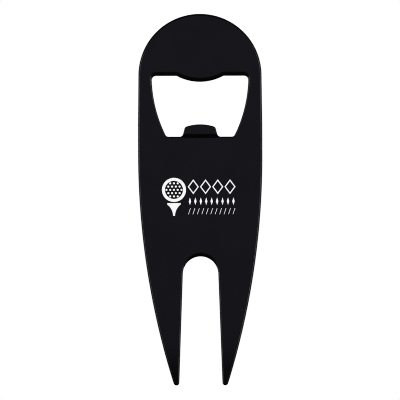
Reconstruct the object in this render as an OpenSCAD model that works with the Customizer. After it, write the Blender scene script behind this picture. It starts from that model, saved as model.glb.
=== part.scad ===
// Divot repair tool with a crown-cap opener: one flat plate with a printed emblem.
// The tool stands on its prong tips: +Z runs from the tips to the head, the printed
// face looks along -Y, and the origin is midway between the tips, at mid-thickness.
// Outlines are drawn in X and Z, with Z as the second coordinate. Millimetres.

/* [Plate] */
// Length, from the prong tips to the top of the head
length = 95; // [92:0.5:100]
// Greatest width of the body
body_w = 31.8; // [31.6:0.1:33]
// Thickness of the plate
thickness = 2.5; // [2:0.1:3.2]
// Radius of the rounded head
head_r = 15.75; // [15:0.05:15.8]
// Height where the sides reach full width below the head
shoulder_z = 66.5; // [62:0.5:70]
// Height below which the sides draw in
taper_z = 58.85; // [57:0.05:61]
// Radius of each long side
side_r = 195; // [188:1:205]

/* [Prongs] */
// Radius of the slot's round top
slot_r = 4.53; // [4:0.01:5]
// Height of the centre of the slot's round top
slot_z = 28.45; // [20:0.05:34]
// Radius of each tip, seen from the front
tip_r = 0.75; // [0.5:0.05:1]
// Height below which the prongs thin
thinning_z = 12; // [6:0.5:18]
// Thickness at the tips
tip_t = 1.1; // [0.8:0.1:1.8]

/* [Opener] */
// Height of the window's top edge
window_top_z = 79.2; // [77:0.2:81]
// Width of the window along its top edge
window_w = 24.72; // [23:0.02:26]
// Height of the window
window_h = 15.6; // [14:0.1:17]
// Radius of the window's side walls
window_side_r = 34.4; // [30:0.1:45]
// Radius of the window's upper corners
window_upper_r = 1.1; // [0.6:0.1:1.6]
// Radius of the window's lower corners
window_lower_r = 0.9; // [0.6:0.1:1.4]
// Width of the bearing bump on the top edge
bump_w = 12; // [8:0.5:16]
// How far the bearing bump stands down
bump_h = 1.53; // [1:0.01:2.5]
// Fillet where the bump meets the top edge
bump_fillet_r = 0.5; // [0.2:0.1:1]

/* [Tongue] */
// Width of the tongue between its shoulders
tongue_w = 7.8; // [6:0.1:8.6]
// Width of the tongue at its base
tongue_base_w = 9.1; // [8.8:0.1:11]
// Height of the tongue
tongue_h = 3.18; // [2.6:0.02:4.5]
// Radius of the tongue's crown
tongue_crown_r = 11.5; // [8:0.1:16]
// Radius of the tongue's shoulders
tongue_shoulder_r = 0.9; // [0.2:0.05:1.2]
// Fillet where the tongue leaves the window's bottom edge
tongue_fillet_r = 0.9; // [0.5:0.1:1.2]
// How far the tongue's front lies behind the front of the plate
tongue_recess = 0.8; // [0.4:0.1:1.2]
// Height of the slope down to the tongue's front
tongue_step_h = 0.75; // [0.4:0.05:1.2]

/* [Print] */
// Thickness of the ink
ink_t = 0.05; // [0.03:0.01:0.1]
// Height of the lowest edge of the print
print_z = 43.4; // [40:0.1:46]
// Height of the print
print_h = 9.7; // [9.2:0.1:10.5]
// Distance of the print's left edge from the centre line
print_left = 9.8; // [8.8:0.1:10.4]
// Radius of the ball
ball_r = 3.07; // [2.8:0.01:3.2]
// Width of the ball's ring
ring_w = 0.75; // [0.5:0.05:0.8]
// Distance between neighbouring dimples
dimple_pitch = 0.96; // [0.8:0.02:0.98]
// Radius of a dimple
dimple_r = 0.25; // [0.15:0.01:0.3]
// Width of the tee's cup
tee_w = 3.4; // [2.6:0.1:4]
// Width of the tee's stem at its foot
tee_foot_w = 0.5; // [0.3:0.1:0.8]
// Height of the cup's straight rim, as a share of the tee's height
tee_rim = 0.16; // [0.1:0.02:0.3]
// Radius of the bite out of each flank, as a share of the tee's height
tee_bite = 1.1; // [1:0.05:1.3]
// Gap between the ball and the tee, the ball and the bands, and neighbouring lozenges
ink_gap = 0.3; // [0.2:0.05:0.5]
// Width of the three bands beside the ball
band_w = 12.5; // [11:0.1:13.5]
// Height of the row of lozenges
lozenge_h = 3.8; // [3:0.1:4.2]
// Number of lozenges
lozenges = 4; // [3:1:6]
// Line width of a lozenge
lozenge_line = 0.27; // [0.2:0.01:0.6]
// Height of the row of small diamonds
diamond_h = 1.9; // [1.4:0.1:2.2]
// Width of a small diamond
diamond_w = 0.6; // [0.4:0.05:0.9]
// Number of small diamonds
diamonds = 9; // [6:1:11]
// Height of the hatched band
hatch_h = 1.5; // [1:0.1:1.8]
// Number of its slanting strokes
hatches = 11; // [8:1:14]
// Width of a stroke
hatch_line = 0.12; // [0.1:0.01:0.3]
// How far a stroke's top lies to the right of its foot
hatch_slant = 0.5; // [0:0.05:0.5]
// How far the bands stay inside the top and bottom of the print
band_margin = 0.4; // [0:0.05:0.5]

/* [Hidden] */
// Points that OpenSCAD gives a full circle: small curves and the long sides
$fn = 96;
long_fn = 1440;
// How far a cutting shape runs past the surface that it cuts
past = 2;
// How far curves cross the edges that they would otherwise only touch
cross = 0.002;
// Depth of the blank before its faces are cut, and of the shapes that cut through it
blank_t = 2 * thickness;
cut_t = 3 * thickness;

plate_colour = [0.09, 0.09, 0.11];
ink_colour = "white";

head_z = length - head_r;
window_bottom_z = window_top_z - window_h;
// Depth that each face gives up between thinning_z and the tips
thinning_d = (thickness - tip_t) / 2;
thinning_r = (thinning_z * thinning_z + thinning_d * thinning_d) / (2 * thinning_d);
bump_r = (bump_w * bump_w / 4 + bump_h * bump_h) / (2 * bump_h);
bump_c = [0, window_top_z - bump_h + bump_r];

// Centres of the right-hand side and of the tip circle that touches it from inside
side_c = [body_w / 2 - side_r, taper_z];
tip_c = [across(side_c, side_r - tip_r, tip_r), tip_r];
// Lean of the slot's walls, which touch the slot's top and the tip circles
slot_lean = atan(tip_c.x / (slot_z - tip_r))
    - asin((slot_r + tip_r) / norm(tip_c - [0, slot_z]));

// Tongue: lean of its sides, and the centres of its crown and its right shoulder
tongue_flank_h = tongue_h - sagitta(tongue_crown_r, tongue_w / 2);
tongue_lean = atan((tongue_base_w - tongue_w) / 2 / tongue_flank_h);
crown_c = [0, window_bottom_z + tongue_h - tongue_crown_r];
shoulder_d = (tongue_base_w / 2) * cos(tongue_lean) - tongue_shoulder_r
    - (crown_c.y - window_bottom_z) * sin(tongue_lean);
shoulder_c = crown_c + shoulder_d * toward(tongue_lean)
    + leg(tongue_crown_r - tongue_shoulder_r, shoulder_d) * toward(tongue_lean + 90);

// Print: the ball above the tee on the left, three bands on the right
print_top_z = print_z + print_h;
ball_c = [ball_r - print_left, print_top_z - ball_r];
tee_top_z = ball_c.y - ball_r - ink_gap;
tee_h = tee_top_z - print_z;
band_left = ball_c.x + ball_r + ink_gap;
dimple_rings = 2;

// A unit vector at angle a
function toward(a) = [cos(a), sin(a)];
// The other leg of a right triangle with hypotenuse c and leg a
function leg(c, a) = sqrt(c * c - a * a);
// How far an arc of radius r rises above a chord of half-width a
function sagitta(r, a) = r - leg(r, a);
// The x at height z of the right half of a circle of radius r about c
function across(c, r, z) = c.x + leg(r, z - c.y);
// The angle of the line from a to b
function bearing(a, b) = atan2(b.y - a.y, b.x - a.x);

// What a corner loses when it is rounded by radius r about c, where a and b are the
// directions from c to the two places where the curve meets the edges
module corner_waste(c, r, a, b) {
    beyond = 2 * r;
    difference() {
        polygon([
            c,
            c + beyond * toward(a),
            c + 2 * beyond * toward((a + b) / 2),
            c + beyond * toward(b),
        ]);
        translate(c) circle(r + cross);
    }
}

module both_sides() {
    children();
    mirror([1, 0, 0]) children();
}

// Outlines in X and Z, each made into a slab that reaches from y = -depth / 2 to depth / 2
module slab(depth) {
    for (i = [0 : $children - 1])
        rotate([90, 0, 0]) linear_extrude(depth, center = true) children(i);
}

// Outlines in Y and Z, each made into a bar that reaches from x = -width / 2 to width / 2
module bar(width) {
    for (i = [0 : $children - 1])
        rotate([90, 0, 90]) linear_extrude(width, center = true) children(i);
}

// A strip between two long arcs that bow out by half of width w at height z,
// drawn from the ground up to that height
module bowed_strip(w, r, z) {
    intersection() {
        translate([w / 2 - r, z]) circle(r, $fn = long_fn);
        translate([r - w / 2, z]) circle(r, $fn = long_fn);
        translate([-w / 2, 0]) square([w, z]);
    }
}

// Head, shoulders and tapering body, thicker than the plate
module body_blank() {
    slab(blank_t) {
        translate([0, head_z]) circle(head_r);
        polygon([
            [-head_r, head_z],
            [head_r, head_z],
            [body_w / 2, shoulder_z],
            [body_w / 2, taper_z],
            [-body_w / 2, taper_z],
            [-body_w / 2, shoulder_z],
        ]);
        bowed_strip(body_w, side_r, taper_z);
    }
}

module slot() {
    wall_top = [0, slot_z] + (slot_r - cross) * toward(slot_lean);
    wall_foot = wall_top + (wall_top.y + past) / cos(slot_lean) * toward(slot_lean - 90);
    slab(cut_t) {
        translate([0, slot_z]) circle(slot_r);
        polygon([
            wall_top,
            wall_foot,
            [-wall_foot.x, wall_foot.y],
            [-wall_top.x, wall_top.y],
        ]);
    }
}

module tip_waste() {
    slab(cut_t)
        corner_waste(tip_c, tip_r, 180 + slot_lean, 360 + bearing(side_c, tip_c));
}

module tongue_outline() {
    difference() {
        intersection() {
            translate(crown_c) circle(tongue_crown_r);
            polygon([
                [-tongue_base_w / 2, window_bottom_z],
                [tongue_base_w / 2, window_bottom_z],
                [tongue_base_w / 2 - tongue_h * tan(tongue_lean), window_bottom_z + tongue_h],
                [tongue_h * tan(tongue_lean) - tongue_base_w / 2, window_bottom_z + tongue_h],
            ]);
        }
        both_sides() corner_waste(
            shoulder_c, tongue_shoulder_r, tongue_lean, bearing(crown_c, shoulder_c));
    }
}

// What rounding takes from the corners on the right half of the window
module window_corners() {
    wall_c = [window_w / 2 - window_side_r, window_top_z];
    upper_z = window_top_z - window_upper_r;
    upper_c = [across(wall_c, window_side_r - window_upper_r, upper_z), upper_z];
    lower_z = window_bottom_z + window_lower_r;
    lower_c = [across(wall_c, window_side_r - window_lower_r, lower_z), lower_z];
    fillet_x = tongue_base_w / 2 - tongue_fillet_r * tan(tongue_lean)
        + tongue_fillet_r / cos(tongue_lean);
    fillet_c = [fillet_x, window_bottom_z + tongue_fillet_r];
    blend_z = window_top_z - bump_fillet_r;
    blend_c = [across(bump_c, bump_r + bump_fillet_r, blend_z), blend_z];
    corner_waste(blend_c, bump_fillet_r, 90, bearing(blend_c, bump_c));
    corner_waste(upper_c, window_upper_r, 90, bearing(wall_c, upper_c));
    corner_waste(lower_c, window_lower_r, -90, bearing(wall_c, lower_c));
    corner_waste(fillet_c, tongue_fillet_r, -90, tongue_lean - 180);
}

module window() {
    slab(cut_t) difference() {
        intersection() {
            translate([window_w / 2 - window_side_r, window_top_z])
                circle(window_side_r, $fn = long_fn);
            translate([window_side_r - window_w / 2, window_top_z])
                circle(window_side_r, $fn = long_fn);
            translate([-window_w / 2, window_bottom_z]) square([window_w, window_h]);
        }
        translate(bump_c) circle(bump_r);
        tongue_outline();
        both_sides() window_corners();
    }
}

// The room between the faces, seen from the side: they bow in towards the tips
module between_faces() {
    bar(body_w + past) {
        translate([-thickness / 2, thinning_z]) square([thickness, length]);
        bowed_strip(thickness, thinning_r, thinning_z);
    }
}

// What is cut away in front of the tongue
module tongue_recess_cut() {
    front = -thickness / 2;
    bar(tongue_base_w + 2 * tongue_fillet_r) polygon([
        [front - past * tongue_recess, window_bottom_z - past * tongue_step_h],
        [front + tongue_recess, window_bottom_z + tongue_step_h],
        [front + tongue_recess, window_bottom_z + tongue_h + past],
        [front - past * tongue_recess, window_bottom_z + tongue_h + past],
    ]);
}

// The slot is cut first, because the rounding of the tips touches its walls
module forked_blank() {
    difference() {
        intersection() {
            body_blank();
            between_faces();
        }
        slot();
    }
}

module tool_plate() {
    color(plate_colour) difference() {
        forked_blank();
        both_sides() tip_waste();
        window();
        tongue_recess_cut();
    }
}

// Ink laid on the front face in the outline of its children
module ink() {
    color(ink_colour) translate([0, -(thickness + ink_t) / 2, 0]) slab(ink_t) children();
}

module diamond(w, h) {
    polygon([[w / 2, 0], [0, h / 2], [-w / 2, 0], [0, -h / 2]]);
}

// Children repeated count times over the width of the bands, at height z
module band_row(count, z) {
    for (i = [0 : count - 1])
        translate([band_left + (i + 0.5) * band_w / count, z]) children();
}

module print_ball_ring() {
    ink() translate(ball_c) difference() {
        circle(ball_r);
        circle(ball_r - ring_w);
    }
}

// Dimples on a triangular grid: one in the middle and rings of 6 and 12 around it
module print_ball_dimples() {
    ink() translate(ball_c)
        for (row = [-dimple_rings : dimple_rings], place = [0 : 2 * dimple_rings - abs(row)])
            translate(dimple_pitch * [
                place + (abs(row) - 2 * dimple_rings) / 2,
                row * sin(60),
            ]) circle(dimple_r);
}

// A cup on a stem: a trapezium with a round bite out of each flank
module print_tee() {
    bite_r = tee_h * tee_bite;
    rim_h = tee_h * tee_rim;
    ink() translate([ball_c.x, print_z]) difference() {
        polygon([
            [-tee_foot_w / 2, 0],
            [tee_foot_w / 2, 0],
            [tee_w / 2, tee_h - rim_h],
            [tee_w / 2, tee_h],
            [-tee_w / 2, tee_h],
            [-tee_w / 2, tee_h - rim_h],
        ]);
        both_sides() translate([tee_foot_w / 2 + bite_r, 0]) circle(bite_r);
    }
}

module print_lozenges() {
    w = band_w / lozenges - ink_gap;
    // A line of even width shrinks a diamond by this share of its width and height
    inner = 1 - 2 * lozenge_line * norm([w, lozenge_h]) / (w * lozenge_h);
    ink() band_row(lozenges, print_top_z - band_margin - lozenge_h / 2) difference() {
        diamond(w, lozenge_h);
        diamond(w * inner, lozenge_h * inner);
    }
}

module print_diamonds() {
    between_z = (print_top_z - lozenge_h + print_z + hatch_h) / 2;
    ink() band_row(diamonds, between_z) diamond(diamond_w, diamond_h);
}

module print_hatch() {
    foot = -(hatch_slant + hatch_line) / 2;
    ink() band_row(hatches, print_z + band_margin) polygon([
        [foot, 0],
        [foot + hatch_line, 0],
        [foot + hatch_line + hatch_slant, hatch_h],
        [foot + hatch_slant, hatch_h],
    ]);
}

tool_plate();
print_ball_ring();
print_ball_dimples();
print_tee();
print_lozenges();
print_diamonds();
print_hatch();
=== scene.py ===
import math
from collections import Counter

import bpy
import numpy as np
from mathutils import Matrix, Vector
from mathutils.geometry import delaunay_2d_cdt


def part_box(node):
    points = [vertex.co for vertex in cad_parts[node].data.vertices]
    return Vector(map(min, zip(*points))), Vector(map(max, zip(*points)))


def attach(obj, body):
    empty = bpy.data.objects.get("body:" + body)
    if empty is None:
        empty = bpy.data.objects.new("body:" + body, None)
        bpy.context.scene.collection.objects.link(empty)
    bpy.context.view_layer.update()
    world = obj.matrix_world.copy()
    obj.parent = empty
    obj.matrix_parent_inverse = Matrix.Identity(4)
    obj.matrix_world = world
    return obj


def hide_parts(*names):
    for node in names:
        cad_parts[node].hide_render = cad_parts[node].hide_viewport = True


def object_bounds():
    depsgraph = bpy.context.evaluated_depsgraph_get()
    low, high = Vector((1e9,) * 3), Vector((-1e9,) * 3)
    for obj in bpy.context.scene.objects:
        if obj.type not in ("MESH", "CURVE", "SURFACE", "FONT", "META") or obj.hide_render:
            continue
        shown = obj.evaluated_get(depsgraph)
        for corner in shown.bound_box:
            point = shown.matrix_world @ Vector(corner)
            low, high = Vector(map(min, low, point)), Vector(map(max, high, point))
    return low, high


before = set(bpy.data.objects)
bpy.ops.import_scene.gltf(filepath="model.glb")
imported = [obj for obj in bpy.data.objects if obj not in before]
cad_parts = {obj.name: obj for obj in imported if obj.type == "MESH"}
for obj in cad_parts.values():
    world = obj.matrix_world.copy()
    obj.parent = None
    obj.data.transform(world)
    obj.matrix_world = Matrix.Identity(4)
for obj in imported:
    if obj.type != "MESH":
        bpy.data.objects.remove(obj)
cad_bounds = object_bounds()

MM = 0.001
WHITE = (1, 1, 1, 1)

plate_low, plate_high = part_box("tool_plate")
length = plate_high.z / MM
body_w = (plate_high.x - plate_low.x) / MM
thickness = (plate_high.y - plate_low.y) / MM

# Plate and prongs, as in the CAD
head_r = 15.75
shoulder_z = 66.5
taper_z = 58.85
side_r = 195
slot_r = 4.53
slot_z = 28.45
tip_r = 0.75
thinning_z = 12
tip_t = 1.1

# Opener window and tongue, as in the CAD
window_top_z = 79.2
window_w = 24.72
window_h = 15.6
window_side_r = 34.4
window_upper_r = 1.1
window_lower_r = 0.9
bump_w = 12
bump_h = 1.53
bump_fillet_r = 0.5
tongue_w = 7.8
tongue_base_w = 9.1
tongue_h = 3.18
tongue_crown_r = 11.5
tongue_shoulder_r = 0.9
tongue_fillet_r = 0.9
tongue_recess = 0.8

# The slope down to the tongue's front: how far below the window's bottom edge it
# starts, its height, and the distances from the centre line over which its start
# draws back up to that edge
step_lead = 0.45
step_h = 1.25
step_fade = (4.2, 5.3)

# Radii that the edges are rounded to, front and back
edge_r = 0.62
slot_edge_r = 0.5
tip_edge_r = 0.38
brow_edge_r = 1.05
# The brow's large radius follows the slot's round end down to this angle, in degrees
slot_brow_end = 45
window_edge_r = 0.38
tongue_edge_r = 0.3
# Rows of faces across a rounded edge, rows between the edges, and the flat rim inside
edge_rows = 7
wall_rows = 2
rim = 0.12
# Spacing of points along the outlines, and the finest angle on a small arc
outline_step = 0.32
arc_step = math.radians(9)
# Passes that even out a change of edge radius along an outline
radius_passes = 60
# Spacing of the points that carry the faces: in general, on the prongs, on the tongue
face_step = 1.7
prong_step = 0.8
tongue_step = 0.22
# How far below the window's bottom edge the tongue's fine spacing starts
fine_below = 1.8


# --- Outlines ---------------------------------------------------------------------

def toward(angle):
    """A unit vector at an angle."""
    return np.array([math.cos(angle), math.sin(angle)])


def bearing(a, b):
    """The angle of the line from a to b."""
    return math.atan2(b[1] - a[1], b[0] - a[0])


def leg(hypotenuse, other):
    """The second leg of a right triangle."""
    return math.sqrt(hypotenuse ** 2 - other ** 2)


def across(centre, r, z):
    """The x at height z of the right half of a circle."""
    return centre[0] + leg(r, z - centre[1])


def arc(centre, r, start, end, radius):
    """Rows of x, z, outward x, outward z and edge radius along an arc. The metal lies on
    the left of every outline, so an arc that turns left has it inside."""
    turn = 1 if end > start else -1
    count = max(2, math.ceil(abs(end - start) * r / outline_step),
                math.ceil(abs(end - start) / arc_step))
    rows = []
    for angle in np.linspace(start, end, count, endpoint=False):
        out = toward(angle)
        rows.append([*(np.asarray(centre) + r * out), *(turn * out), radius])
    return rows


def line(start, end, radius):
    """Rows as in arc, along a straight line with the metal on its left."""
    start, end = np.asarray(start, float), np.asarray(end, float)
    run = end - start
    out = np.array([run[1], -run[0]]) / np.linalg.norm(run)
    count = max(2, math.ceil(np.linalg.norm(run) / outline_step))
    return [[*(start + run * t), *out, radius]
            for t in np.linspace(0, 1, count, endpoint=False)]


def closed(right, top):
    """A closed outline from its right half, which starts on the centre line and meets it
    again at height top, where it faces up. Edge radii change gradually along it."""
    last = [0, top, 0, 1, right[-1][4]]
    left = [[-x, z, -out_x, out_z, r] for x, z, out_x, out_z, r in reversed(right[1:])]
    rows = np.array(right + [last] + left)
    for _ in range(radius_passes):
        rows[:, 4] = (np.roll(rows[:, 4], 1) + 2 * rows[:, 4] + np.roll(rows[:, 4], -1)) / 4
    return rows


def plate_outline():
    head_z = length - head_r
    side_c = np.array([body_w / 2 - side_r, taper_z])
    tip_c = np.array([across(side_c, side_r - tip_r, tip_r), tip_r])
    slot_c = np.array([0, slot_z])
    slot_brow = math.radians(slot_brow_end)
    lean = (math.atan(tip_c[0] / (slot_z - tip_r))
            - math.asin((slot_r + tip_r) / np.linalg.norm(tip_c - slot_c)))
    side_start = bearing(side_c, tip_c)
    shoulder = (body_w / 2, shoulder_z)
    right = (
        arc(slot_c, slot_r, math.pi / 2, slot_brow, brow_edge_r)
        + arc(slot_c, slot_r, slot_brow, lean, slot_edge_r)
        + line(slot_c + slot_r * toward(lean), tip_c - tip_r * toward(lean), slot_edge_r)
        + arc(tip_c, tip_r, math.pi + lean, 2 * math.pi + side_start, tip_edge_r)
        + arc(side_c, side_r, side_start, 0, edge_r)
        + line((body_w / 2, taper_z), shoulder, edge_r)
        + line(shoulder, (head_r, head_z), edge_r)
        + arc((0, head_z), head_r, 0, math.pi / 2, edge_r))
    return closed(right, length)


def window_outline():
    bottom_z = window_top_z - window_h
    bump_r = (bump_w ** 2 / 4 + bump_h ** 2) / (2 * bump_h)
    bump_c = (0, window_top_z - bump_h + bump_r)
    blend_z = window_top_z - bump_fillet_r
    blend_c = (across(bump_c, bump_r + bump_fillet_r, blend_z), blend_z)
    wall_c = (window_w / 2 - window_side_r, window_top_z)
    upper_z = window_top_z - window_upper_r
    upper_c = (across(wall_c, window_side_r - window_upper_r, upper_z), upper_z)
    lower_z = bottom_z + window_lower_r
    lower_c = (across(wall_c, window_side_r - window_lower_r, lower_z), lower_z)

    flank_h = tongue_h - (tongue_crown_r - leg(tongue_crown_r, tongue_w / 2))
    lean = math.atan((tongue_base_w - tongue_w) / 2 / flank_h)
    fillet_c = np.array([
        tongue_base_w / 2 + tongue_fillet_r * (1 / math.cos(lean) - math.tan(lean)),
        bottom_z + tongue_fillet_r])
    crown_c = np.array([0, bottom_z + tongue_h - tongue_crown_r])
    shoulder_d = (tongue_base_w / 2 * math.cos(lean) - tongue_shoulder_r
                  - (crown_c[1] - bottom_z) * math.sin(lean))
    shoulder_c = (crown_c + shoulder_d * toward(lean)
                  + leg(tongue_crown_r - tongue_shoulder_r, shoulder_d)
                  * toward(lean + math.pi / 2))
    flank_foot = fillet_c - tongue_fillet_r * toward(lean)
    flank_top = shoulder_c + tongue_shoulder_r * toward(lean)
    down = -math.pi / 2
    right = (
        arc(bump_c, bump_r, down, bearing(bump_c, blend_c), brow_edge_r)
        + arc(blend_c, bump_fillet_r, bearing(blend_c, bump_c), math.pi / 2, brow_edge_r)
        + line((blend_c[0], window_top_z), (upper_c[0], window_top_z), brow_edge_r)
        + arc(upper_c, window_upper_r, math.pi / 2, bearing(wall_c, upper_c), brow_edge_r)
        + arc(wall_c, window_side_r, bearing(wall_c, upper_c), bearing(wall_c, lower_c),
              window_edge_r)
        + arc(lower_c, window_lower_r, bearing(wall_c, lower_c), down, window_edge_r)
        + line((lower_c[0], bottom_z), (fillet_c[0], bottom_z), window_edge_r)
        + arc(fillet_c, tongue_fillet_r, down, lean - math.pi, tongue_edge_r)
        + line(flank_foot, flank_top, tongue_edge_r)
        + arc(shoulder_c, tongue_shoulder_r, lean, bearing(crown_c, shoulder_c),
              tongue_edge_r)
        + arc(crown_c, tongue_crown_r, bearing(crown_c, shoulder_c), math.pi / 2,
              tongue_edge_r))
    return closed(right, bottom_z + tongue_h)


# --- Heights of the two faces -----------------------------------------------------

def smooth(t):
    """A soft step from 0 to 1."""
    t = np.clip(t, 0, 1)
    return t * t * (3 - 2 * t)


def half_thickness(z):
    """The faces bow in below thinning_z, along arcs that end tip_t apart."""
    depth = (thickness - tip_t) / 2
    r = (thinning_z ** 2 + depth ** 2) / (2 * depth)
    below = np.clip(thinning_z - z, 0, None)
    return thickness / 2 - (r - np.sqrt(r * r - below * below))


def recess(x, z):
    """How far the front lies behind the front of the plate, on the tongue and its slope."""
    bottom_z = window_top_z - window_h
    beside = smooth((np.abs(x) - step_fade[0]) / (step_fade[1] - step_fade[0]))
    start = bottom_z - step_lead * (1 - beside)
    drop = tongue_recess * smooth((z - start) / step_h)
    on_tongue = (np.abs(x) < tongue_base_w / 2 + tongue_fillet_r) & (
        z < bottom_z + tongue_h + edge_r)
    return np.where(on_tongue, drop, 0)


# --- Mesh -------------------------------------------------------------------------

def inside(points, loops):
    """Which points lie in the metal between the loops."""
    hit = np.zeros(len(points), bool)
    for loop in loops:
        ends = np.roll(loop, -1, axis=0)
        for (x0, z0), (x1, z1) in zip(loop, ends):
            if z0 == z1:
                continue
            spans = (points[:, 1] < z0) != (points[:, 1] < z1)
            at = x0 + (points[:, 1] - z0) * (x1 - x0) / (z1 - z0)
            hit ^= spans & (points[:, 0] < at)
    return hit


def grid(half_w, low_z, high_z, step):
    """Points of a triangular grid, symmetric about the centre line."""
    rows = []
    row_step = step * math.sqrt(3) / 2
    for row in range(int((high_z - low_z) / row_step) + 1):
        xs = np.arange(step / 2 if row % 2 else 0, half_w, step)
        xs = np.concatenate([-xs[::-1], xs])
        rows += [(x, low_z + row * row_step) for x in np.unique(xs)]
    return np.array(rows)


def face_points(loops):
    """Points inside the face, denser where it curves."""
    half_w = body_w / 2
    bottom_z = window_top_z - window_h
    tongue_x = tongue_base_w / 2 + tongue_fillet_r
    tongue_low = bottom_z - fine_below
    tongue_high = bottom_z + tongue_h
    general = grid(half_w, thinning_z + face_step, length, face_step)
    margin = face_step / 2
    by_tongue = ((np.abs(general[:, 0]) < tongue_x + margin)
                 & (general[:, 1] > tongue_low - margin)
                 & (general[:, 1] < tongue_high + margin))
    zones = [
        (grid(tongue_x, tongue_low, tongue_high, tongue_step), tongue_step),
        (grid(half_w, 0, thinning_z + prong_step, prong_step), prong_step),
        (general[~by_tongue], face_step),
    ]
    edge = np.concatenate(loops)
    kept = []
    for points, step in zones:
        points = points[inside(points, loops)]
        gap = np.linalg.norm(points[:, None] - edge[None], axis=2).min(axis=1)
        kept.append(points[gap > step / 2])
    return np.concatenate(kept)


def trimmed(triangles, edges):
    """Drops the slivers that lie along the outside of a loop, whose long side is neither
    shared nor part of a loop."""
    outline = {tuple(sorted(edge)) for edge in edges}
    while True:
        sides = [[tuple(sorted((t[i], t[i - 1]))) for i in range(3)] for t in triangles]
        uses = Counter(side for three in sides for side in three)
        keep = [all(uses[side] == 2 or side in outline for side in three) for three in sides]
        if all(keep):
            return triangles
        triangles = triangles[keep]


def fill(loops):
    """The points and triangles of the face within the loops, loop points first."""
    points = np.concatenate(loops + [face_points(loops)])
    edges = []
    first = 0
    for loop in loops:
        edges += [(first + i, first + (i + 1) % len(loop)) for i in range(len(loop))]
        first += len(loop)
    # Triangles inside the outermost loop only, with points this close taken as one
    inner_only = 1
    tolerance = 1e-7
    _, _, made, origins, _, _ = delaunay_2d_cdt(
        [Vector(p) for p in points], edges, [], inner_only, tolerance, True)
    triangles = np.array([[origins[i][0] for i in face] for face in made])
    metal = inside(points[triangles].mean(axis=1), loops)
    triangles = trimmed(triangles[metal], edges)
    a, b, c = (points[triangles[:, i]] for i in range(3))
    turn = (b[:, 0] - a[:, 0]) * (c[:, 1] - a[:, 1]) - (b[:, 1] - a[:, 1]) * (c[:, 0] - a[:, 0])
    triangles[turn < 0] = triangles[turn < 0][:, ::-1]
    return points, triangles


def side_rows(rows):
    """Rows of points down the side of an outline, from its front edge to its back edge,
    each as x, z, y and how much the edge is worn and painted lighter there: partly
    wear, partly a painted highlight."""
    px, pz, out_x, out_z, radius = rows.T

    def rounded(side, angle):
        inset = radius * (1 - math.cos(angle))
        sunk = radius * (1 - math.sin(angle))
        x = px - inset * out_x
        z = pz - inset * out_z
        face = recess(x, z) - half_thickness(z) if side < 0 else half_thickness(z)
        # The last value says how far the edge is painted lighter: partly wear, partly a painted
        # highlight
        return x, z, face - side * sunk, math.cos(angle) ** 2

    front_wall = recess(px, pz) - half_thickness(pz) + radius
    back_wall = half_thickness(pz) - radius
    return (
        [rounded(-1, angle) for angle in np.linspace(math.pi / 2, 0, edge_rows + 1)]
        + [(px, pz, front_wall + (back_wall - front_wall) * t, 1)
           for t in np.linspace(0, 1, wall_rows + 1)[1:-1]]
        + [rounded(1, angle) for angle in np.linspace(0, math.pi / 2, edge_rows + 1)])


def plate_mesh():
    """Two triangulated faces joined by rows of quads down the outer and inner sides."""
    outlines = [plate_outline(), window_outline()]
    rim_loops = [rows[:, :2] - (rows[:, 4:5] + rim) * rows[:, 2:4] for rows in outlines]
    flat, triangles = fill(rim_loops)
    verts, faces, edge_wear_and_highlight_values = [], [], []

    def add(x, z, y, wear_and_highlight):
        """Adds a row of vertices and gives their numbers."""
        verts.extend(zip(x * MM, y * MM, z * MM))
        edge_wear_and_highlight_values.extend(np.broadcast_to(wear_and_highlight, x.shape))
        return len(verts) - len(x) + np.arange(len(x))

    x, z = flat.T
    front = add(x, z, recess(x, z) - half_thickness(z), 0)
    back = add(x, z, half_thickness(z), 0)
    faces += [tuple(front[t]) for t in triangles]
    faces += [tuple(back[t[::-1]]) for t in triangles]

    first = 0
    for rows in outlines:
        last = first + len(rows)
        rings = [front[first:last], *(add(*row) for row in side_rows(rows)), back[first:last]]
        for near, far in zip(rings, rings[1:]):
            after_near, after_far = np.roll(near, -1), np.roll(far, -1)
            faces += [tuple(q) for q in np.stack([near, far, after_far, after_near], axis=1)]
        first = last

    mesh = bpy.data.meshes.new("plate_finished")
    mesh.from_pydata(verts, [], faces)
    mesh.validate()
    mesh.shade_smooth()
    # How much each point's edge is painted lighter: partly wear, partly a painted highlight
    wear_and_highlight = mesh.attributes.new("edge_wear_and_highlight", "FLOAT", "POINT")
    wear_and_highlight.data.foreach_set("value", np.array(edge_wear_and_highlight_values, np.float32))
    return mesh


# --- Materials --------------------------------------------------------------------

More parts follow.
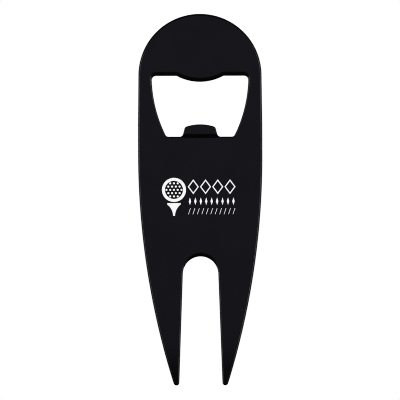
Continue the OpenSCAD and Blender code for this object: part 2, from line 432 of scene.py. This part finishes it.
class Tree:
    """A short way to write a node tree."""

    def __init__(self, owner):
        owner.use_nodes = True
        self.tree = owner.node_tree
        self.tree.nodes.clear()

    def add(self, kind, inputs=None, **settings):
        node = self.tree.nodes.new(kind)
        for name, value in settings.items():
            setattr(node, name, value)
        for name, value in (inputs or {}).items():
            socket = node.inputs[name]
            if isinstance(value, bpy.types.NodeSocket):
                self.tree.links.new(value, socket)
            else:
                socket.default_value = value
        return node

    def math(self, operation, a, b=0.0):
        return self.add("ShaderNodeMath", {0: a, 1: b}, operation=operation).outputs[0]

    def remap(self, value, low, high, to_low=0.0, to_high=1.0):
        """A soft step from to_low to to_high as the value goes from low to high."""
        return self.add("ShaderNodeMapRange", {
            "Value": value, "From Min": low, "From Max": high,
            "To Min": to_low, "To Max": to_high,
        }, interpolation_type="SMOOTHSTEP").outputs["Result"]

    def noise(self, place, size, detail=2.0, stretch=(1, 1, 1)):
        """Noise whose features are about size metres across, 0 to 1."""
        mapped = self.add("ShaderNodeMapping", {"Vector": place, "Scale": stretch})
        return self.add("ShaderNodeTexNoise", {
            "Vector": mapped.outputs[0], "Scale": 1 / size, "Detail": detail,
        }).outputs["Fac"]

    def blend(self, factor, a, b):
        """Colour a where the factor is 0, and b where it is 1."""
        colour_sockets = {0: factor, 6: a, 7: b}
        return self.add("ShaderNodeMix", colour_sockets, data_type="RGBA").outputs[2]

    def bump(self, height, strength, distance):
        """A normal that a height field of so many metres would give."""
        return self.add("ShaderNodeBump", {
            "Height": height, "Strength": strength, "Distance": distance,
        }).outputs["Normal"]

    def place(self):
        return self.add("ShaderNodeTexCoord").outputs["Object"]

    def surface(self, shader, kind="ShaderNodeOutputMaterial"):
        self.add(kind, {"Surface": shader})


def black_anodised():
    """Satin black anodising over blasted aluminium: fine grain, faint clouding, hairline
    handling marks, and edges that have been rubbed smoother and painted a little lighter,
    partly as wear and partly as a painted highlight."""
    deep_black = (0.0009, 0.0009, 0.0012, 1)
    pale_black = (0.0015, 0.0014, 0.0018, 1)
    # The grey that the edges are painted towards: partly rubbed wear, partly a painted
    # highlight
    rubbed_and_highlit_grey = (0.006, 0.006, 0.007, 1)
    rubbed_and_highlit_share = 0.25
    rubbed_gloss = 0.05
    roughness = (0.26, 0.28)
    mark_gloss = 0.03
    along_tool = (1, 1, 0.06)

    material = bpy.data.materials.new("black_anodised")
    tree = Tree(material)
    place = tree.place()
    wear_and_highlight = tree.add("ShaderNodeAttribute", attribute_name="edge_wear_and_highlight").outputs["Fac"]
    wear_and_highlight_patches = tree.remap(tree.noise(place, size=0.0012), 0.35, 0.75)
    rubbed_and_highlit = tree.math("MULTIPLY", wear_and_highlight, wear_and_highlight_patches)

    clouds = tree.remap(tree.noise(place, size=0.007, detail=3.0), 0.3, 0.7)
    colour = tree.blend(clouds, deep_black, pale_black)
    # Edges painted lighter in patches: partly rubbed wear, partly a painted highlight
    colour = tree.blend(tree.math("MULTIPLY", rubbed_and_highlit, rubbed_and_highlit_share), colour, rubbed_and_highlit_grey)

    uneven = tree.noise(place, size=0.003, detail=4.0)
    rough = tree.remap(uneven, 0.3, 0.7, *roughness)
    marks = tree.noise(place, size=0.0016, stretch=along_tool)
    rough = tree.math("SUBTRACT", rough, tree.remap(marks, 0.66, 0.74, 0.0, mark_gloss))
    rough = tree.math("SUBTRACT", rough, tree.math("MULTIPLY", rubbed_and_highlit, rubbed_gloss))

    grain = tree.noise(place, size=0.00022, detail=3.0)
    shader = tree.add("ShaderNodeBsdfPrincipled", {
        "Base Color": colour, "Roughness": rough, "IOR": 1.5,
        "Normal": tree.bump(grain, strength=0.7, distance=0.00001)})
    tree.surface(shader.outputs[0])
    return material


def white_ink():
    """Pad-printed ink: slightly uneven cover, a fine orange-peel skin."""
    thin_cover = (0.8, 0.8, 0.81, 1)
    full_cover = (0.92, 0.92, 0.92, 1)
    roughness = (0.5, 0.62)

    material = bpy.data.materials.new("white_ink")
    tree = Tree(material)
    place = tree.place()
    cover = tree.remap(tree.noise(place, size=0.0006, detail=4.0), 0.25, 0.6)
    rough = tree.remap(tree.noise(place, size=0.0015), 0.3, 0.7, *roughness)
    skin = tree.noise(place, size=0.0003)
    shader = tree.add("ShaderNodeBsdfPrincipled", {
        "Base Color": tree.blend(cover, thin_cover, full_cover), "Roughness": rough,
        "Normal": tree.bump(skin, strength=0.6, distance=0.000008)})
    tree.surface(shader.outputs[0])
    return material


def pale_floor():
    """A pale floor with a soft shadow where the tool stands. Seen at a low angle, it
    runs out into the white behind it."""
    shadow_reach = 0.03
    shadow, lit = 0.62, 0.93

    material = bpy.data.materials.new("pale_floor")
    tree = Tree(material)
    open_sky = tree.add("ShaderNodeAmbientOcclusion", {"Distance": shadow_reach}, samples=8)
    shaded = tree.remap(open_sky.outputs["AO"], 0.2, 1.0, shadow, lit)
    facing = tree.add("ShaderNodeLayerWeight", {"Blend": 0.5}).outputs["Facing"]
    high_angle = tree.remap(tree.math("SUBTRACT", 1.0, facing), 0.14, 0.36)
    value = tree.blend(high_angle, WHITE, shaded)
    tree.surface(tree.add("ShaderNodeEmission", {"Color": value}).outputs[0])
    return material


# --- The object -------------------------------------------------------------------

plate = bpy.data.objects.new("plate_finished", plate_mesh())
bpy.context.scene.collection.objects.link(plate)
plate.data.materials.append(black_anodised())
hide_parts("tool_plate")
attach(plate, "root")

ink = white_ink()
for name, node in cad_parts.items():
    if name != "tool_plate":
        for material_slot in node.material_slots:
            material_slot.material = ink


# --- Studio -----------------------------------------------------------------------

def studio_floor():
    """A floor that the camera sees, but that the tool neither mirrors nor is lit by."""
    half = 3.0
    mesh = bpy.data.meshes.new("floor")
    mesh.from_pydata([(-half, -half, 0), (half, -half, 0), (half, half, 0), (-half, half, 0)],
                     [], [(0, 1, 2, 3)])
    floor = bpy.data.objects.new("floor", mesh)
    bpy.context.scene.collection.objects.link(floor)
    mesh.materials.append(pale_floor())
    floor.visible_glossy = False
    floor.visible_diffuse = False


def studio_world():
    """White behind the tool and even light for what scatters it. What mirrors the studio
    sees a dim soft glow in front, behind and squarely beside the tool, and darkness
    between them. The glow fades out overhead, and ends a little below the horizon except
    towards the sides."""
    glow_tint = (0.22, 0.205, 0.285, 1)
    dark = (0.004, 0.004, 0.004, 1)
    # Even light from straight below and from straight above
    underneath, overhead = 0.88, 1.08

    world = bpy.data.worlds.new("studio")
    bpy.context.scene.world = world
    tree = Tree(world)
    ray = tree.add("ShaderNodeLightPath")
    direction = tree.add("ShaderNodeTexCoord").outputs["Generated"]
    split = tree.add("ShaderNodeSeparateXYZ", {"Vector": direction})
    up = split.outputs["Z"]
    aside = tree.math("ABSOLUTE", split.outputs["X"])
    ahead = tree.math("ABSOLUTE", split.outputs["Y"])
    # Where the glow lies, by how far a direction points ahead, aside and up
    around = tree.math("MAXIMUM", tree.remap(ahead, 0.3, 0.75), tree.remap(aside, 0.9, 0.98))
    low_end = tree.math("MAXIMUM", tree.remap(up, -0.19, -0.09), tree.remap(aside, 0.45, 0.6))
    lit = tree.math("MULTIPLY", around, low_end)
    # It dims a little above the horizon, and fades out overhead
    lit = tree.math("MULTIPLY", lit, tree.remap(up, 0.0, 0.2, 1.0, 0.8))
    lit = tree.math("MULTIPLY", lit, tree.remap(up, 0.35, 0.65, 1.0, 0.0))
    glow = tree.blend(lit, dark, glow_tint)
    even = tree.remap(up, -1.0, 1.0, underneath, overhead)
    value = tree.blend(ray.outputs["Is Diffuse Ray"], glow, even)
    value = tree.blend(ray.outputs["Is Camera Ray"], value, WHITE)
    tree.surface(tree.add("ShaderNodeBackground", {"Color": value}).outputs[0],
                 "ShaderNodeOutputWorld")
    world.cycles.sampling_method = "NONE"


def strip_light(name, azimuth, brightness):
    """A tall narrow soft box turned towards the tool. Azimuth 0 is straight in front."""
    distance = 0.9
    width = 0.16
    height = 0.7
    centre = (Vector(cad_bounds[0]) + Vector(cad_bounds[1])) / 2
    lamp = bpy.data.lights.new(name, "AREA")
    lamp.shape = "RECTANGLE"
    lamp.size = width
    lamp.size_y = height
    lamp.energy = brightness * math.pi * width * height
    light = bpy.data.objects.new(name, lamp)
    bpy.context.scene.collection.objects.link(light)
    turn = math.radians(azimuth)
    light.location = centre + distance * Vector((math.sin(turn), -math.cos(turn), 0))
    light.rotation_euler = (math.pi / 2, 0, turn)
    light.visible_camera = False


def studio_camera():
    """Straight in front at the height of the tool's middle, with a long lens."""
    # The tool's share of the picture's height, and how far to the left of its middle and
    # below it the lens is, in picture heights
    fill_share = 0.9303
    leftward = 0.0009
    lowered = 0.0007
    # The camera's lean, which shows the tool leaning the other way
    roll = math.radians(0.17)

    camera_data = bpy.data.cameras.new("camera")
    camera_data.lens = 200
    camera_data.sensor_width = 36
    low, high = Vector(cad_bounds[0]), Vector(cad_bounds[1])
    view_h = (high.z - low.z) / fill_share
    distance = view_h * camera_data.lens / camera_data.sensor_width
    camera = bpy.data.objects.new("camera", camera_data)
    bpy.context.scene.collection.objects.link(camera)
    camera.location = (-leftward * view_h, low.y - distance,
                       (low.z + high.z) / 2 - lowered * view_h)
    camera.rotation_euler = (math.pi / 2, roll, 0)
    bpy.context.scene.camera = camera


studio_floor()
studio_world()
strip_light("front_left", azimuth=-50, brightness=3.2)
strip_light("front_right", azimuth=50, brightness=4.0)
strip_light("back_left", azimuth=-130, brightness=3.0)
strip_light("back_right", azimuth=130, brightness=3.0)
studio_camera()
bpy.context.scene.view_settings.view_transform = "Standard"
bpy.context.scene.cycles.filter_width = 1.0
